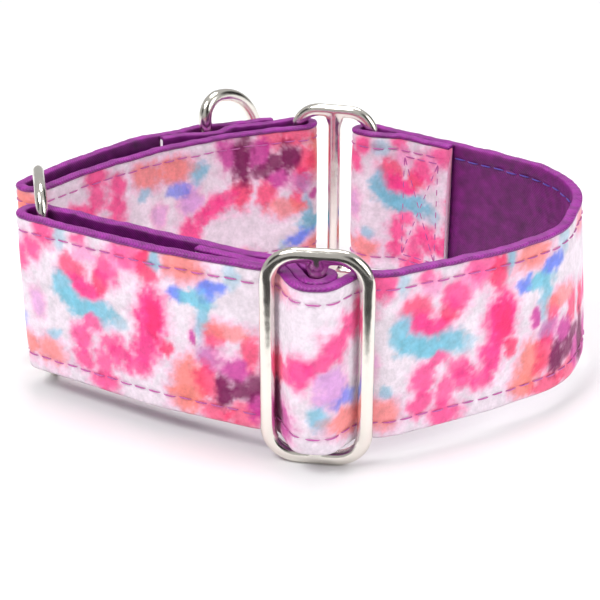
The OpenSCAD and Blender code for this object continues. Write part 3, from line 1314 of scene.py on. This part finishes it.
class Studio:
    """Floor, lights and camera. None of it belongs to the object."""

    def floor(self) -> bpy.types.Object:
        """Makes a pale plain floor.

        Returns:
            The floor.
        """
        bpy.ops.object.select_all(action="DESELECT")
        bpy.ops.mesh.primitive_plane_add(size=8.0, location=(0, 0, -0.0001))
        floor = bpy.context.active_object
        floor.name = "floor"
        shader = Shader("floor")
        shader.vary(shader.plain((0.93, 0.93, 0.935)), shader.spread(shader.noise(2), 0.99, 1.0))
        shader.socket("Roughness", 0.75)
        shader.socket("Specular IOR Level", 0.2)
        floor.data.materials.append(shader.material)
        return floor

    def card(self) -> bpy.types.Object:
        """Lays a dark card in front of the object, which only shiny pieces mirror.

        Returns:
            The card.
        """
        bpy.ops.object.select_all(action="DESELECT")
        bpy.ops.mesh.primitive_plane_add(size=1.0, location=(0, -0.362, 0.0006))
        card = bpy.context.active_object
        card.name, card.scale = "dark_card", (1.2, 0.50, 1)
        bpy.ops.object.transform_apply(location=False, rotation=False, scale=True)
        card.visible_camera = card.visible_diffuse = card.visible_shadow = False
        shader = Shader("dark_card")
        shader.vary(shader.plain((0.012, 0.012, 0.012)), shader.spread(shader.noise(9), 0.9, 1.1))
        shader.socket("Roughness", 0.9)
        card.data.materials.append(shader.material)
        return card

    def area(self, name: str, at: tuple[float, float, float], size: float, power: float) -> None:
        """Adds a soft light that points at the object.

        Args:
            name: the light's name.
            at: its place, in metres.
            size: its width, in metres.
            power: its power, in watts.
        """
        data = bpy.data.lights.new(name, "AREA")
        data.shape, data.size, data.energy = "DISK", size, power
        light = bpy.data.objects.new(name, data)
        light.location = at
        aim = Vector((0, 0, 0.02)) - light.location
        light.rotation_euler = aim.to_track_quat("-Z", "Y").to_euler()
        bpy.context.scene.collection.objects.link(light)

    def world(self) -> None:
        """Makes bright surroundings with a dark card for the metal to mirror."""
        world = bpy.data.worlds.new("surroundings")
        bpy.context.scene.world = world
        world.use_nodes = True
        tree = world.node_tree
        tree.nodes.clear()
        coords = tree.nodes.new("ShaderNodeTexCoord")
        output = tree.nodes.new("ShaderNodeOutputWorld")
        back = tree.nodes.new("ShaderNodeBackground")
        cards = []
        for direction, inner, outer in (((0.50, -0.78, 0.38), 0.93, 0.82),
                                        ((-0.85, -0.35, 0.40), 0.975, 0.93),
                                        ((0.80, 0.52, 0.30), 0.975, 0.92)):
            dot = tree.nodes.new("ShaderNodeVectorMath")
            dot.operation = "DOT_PRODUCT"
            dot.inputs[1].default_value = Vector(direction).normalized()
            tree.links.new(coords.outputs["Generated"], dot.inputs[0])
            ramp = tree.nodes.new("ShaderNodeMapRange")
            for key, value in (("From Min", outer), ("From Max", inner), ("To Min", AROUND),
                               ("To Max", CARD_GLOW)):
                ramp.inputs[key].default_value = value
            tree.links.new(dot.outputs["Value"], ramp.inputs["Value"])
            cards.append(ramp.outputs[0])
        total = cards[0]
        for card in cards[1:]:
            join = tree.nodes.new("ShaderNodeMath")
            join.operation = "MULTIPLY"
            tree.links.new(total, join.inputs[0])
            tree.links.new(card, join.inputs[1])
            total = join.outputs[0]
        tree.links.new(total, back.inputs["Strength"])
        back.inputs["Color"].default_value = (1, 1, 1, 1)
        tree.links.new(back.outputs[0], output.inputs[0])

    def camera(self) -> None:
        """Adds the camera."""
        data = bpy.data.cameras.new("camera")
        data.lens, data.sensor_width, data.clip_start = 84.0, 36.0, 0.01
        camera = bpy.data.objects.new("camera", data)
        camera.location = (0.00094, -0.30955, 0.1545)
        camera.rotation_euler = (math.radians(65.5), 0, 0)
        bpy.context.scene.collection.objects.link(camera)
        bpy.context.scene.camera = camera

    def build(self) -> None:
        """Makes the floor, the lights, the surroundings and the camera."""
        self.floor()
        self.card()
        self.world()
        self.area("key", (-0.45, -0.35, 0.75), 0.45, 4.9)
        self.area("fill", (0.60, -0.35, 0.42), 0.6, 2.7)
        self.area("top", (0.05, 0.25, 0.80), 0.5, 3.2)
        self.camera()
        bpy.context.scene.view_settings.view_transform = "Standard"


NODES = {"cover": "cover", "webbing": "webbing", "lining": "lining",
         "top": "top_stitching", "bottom": "bottom_stitching"}


@dataclass
class Collar:
    """The whole collar, joined to the frame."""

    finishes: Finishes

    @staticmethod
    def travel(piece: bpy.types.Object) -> None:
        """Applies a piece of the neck band's placement to its mesh.

        Args:
            piece: a piece of the neck band.
        """
        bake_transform(piece)

    @staticmethod
    def pull(piece: bpy.types.Object) -> None:
        """Applies a piece of the control loop's placement to its mesh.

        Args:
            piece: a piece of the control loop.
        """
        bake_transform(piece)

    def straps(self) -> None:
        """Makes both straps."""
        band = Strap("band", BAND_ROUTE, PrintSide.RIGHT, lean=3.5)
        loop = Strap("loop", LOOP_ROUTE, PrintSide.LEFT)
        for strap, node, join in ((band, "neck_band", self.travel),
                                  (loop, "control_loop", self.pull)):
            LOG.info("%s: %.1f mm", strap.name, strap.length)
            for key, piece in StrapPart(strap, self.finishes, 11).build().items():
                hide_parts(f"{node}_{NODES[key]}")
                join(piece)

    def seams(self) -> None:
        """Makes the stitching that holds the folds."""
        thread = self.finishes.thread
        for made, node in ((Seams.tab_box(thread), "tab_box_stitching"),
                           (Seams.tail(thread), "tail_stitching")):
            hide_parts(node)
            self.travel(made)
        lead = Seams.lead(thread)
        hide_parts("lead_seam_stitching")
        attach(lead, "lead_seam")

    def hardware(self) -> None:
        """Makes the castings and the lead ring."""
        metal = Hardware(self.finishes.nickel)
        made = {"adjuster_slide": metal.casting("slide_casting", SLIDE_C, SLIDE_A),
                "left_ring": metal.casting("left_casting", LEFT_C, LEFT_A),
                "back_ring": metal.casting("back_casting", BACK_C, BACK_A),
                "lead_ring": metal.lead_ring()}
        for node, piece in made.items():
            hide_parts(node)
            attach(piece, node)


def main() -> None:
    """Builds the collar and the studio."""
    logging.basicConfig(level=logging.INFO, format="%(name)s: %(message)s")
    finishes = Finishes(Velvet().build(), Satin().build(), Webbing().build(), Thread().build(),
                        Nickel().build())
    collar = Collar(finishes)
    collar.straps()
    collar.seams()
    collar.hardware()
    Studio().build()


if __name__ == "__main__":
    main()
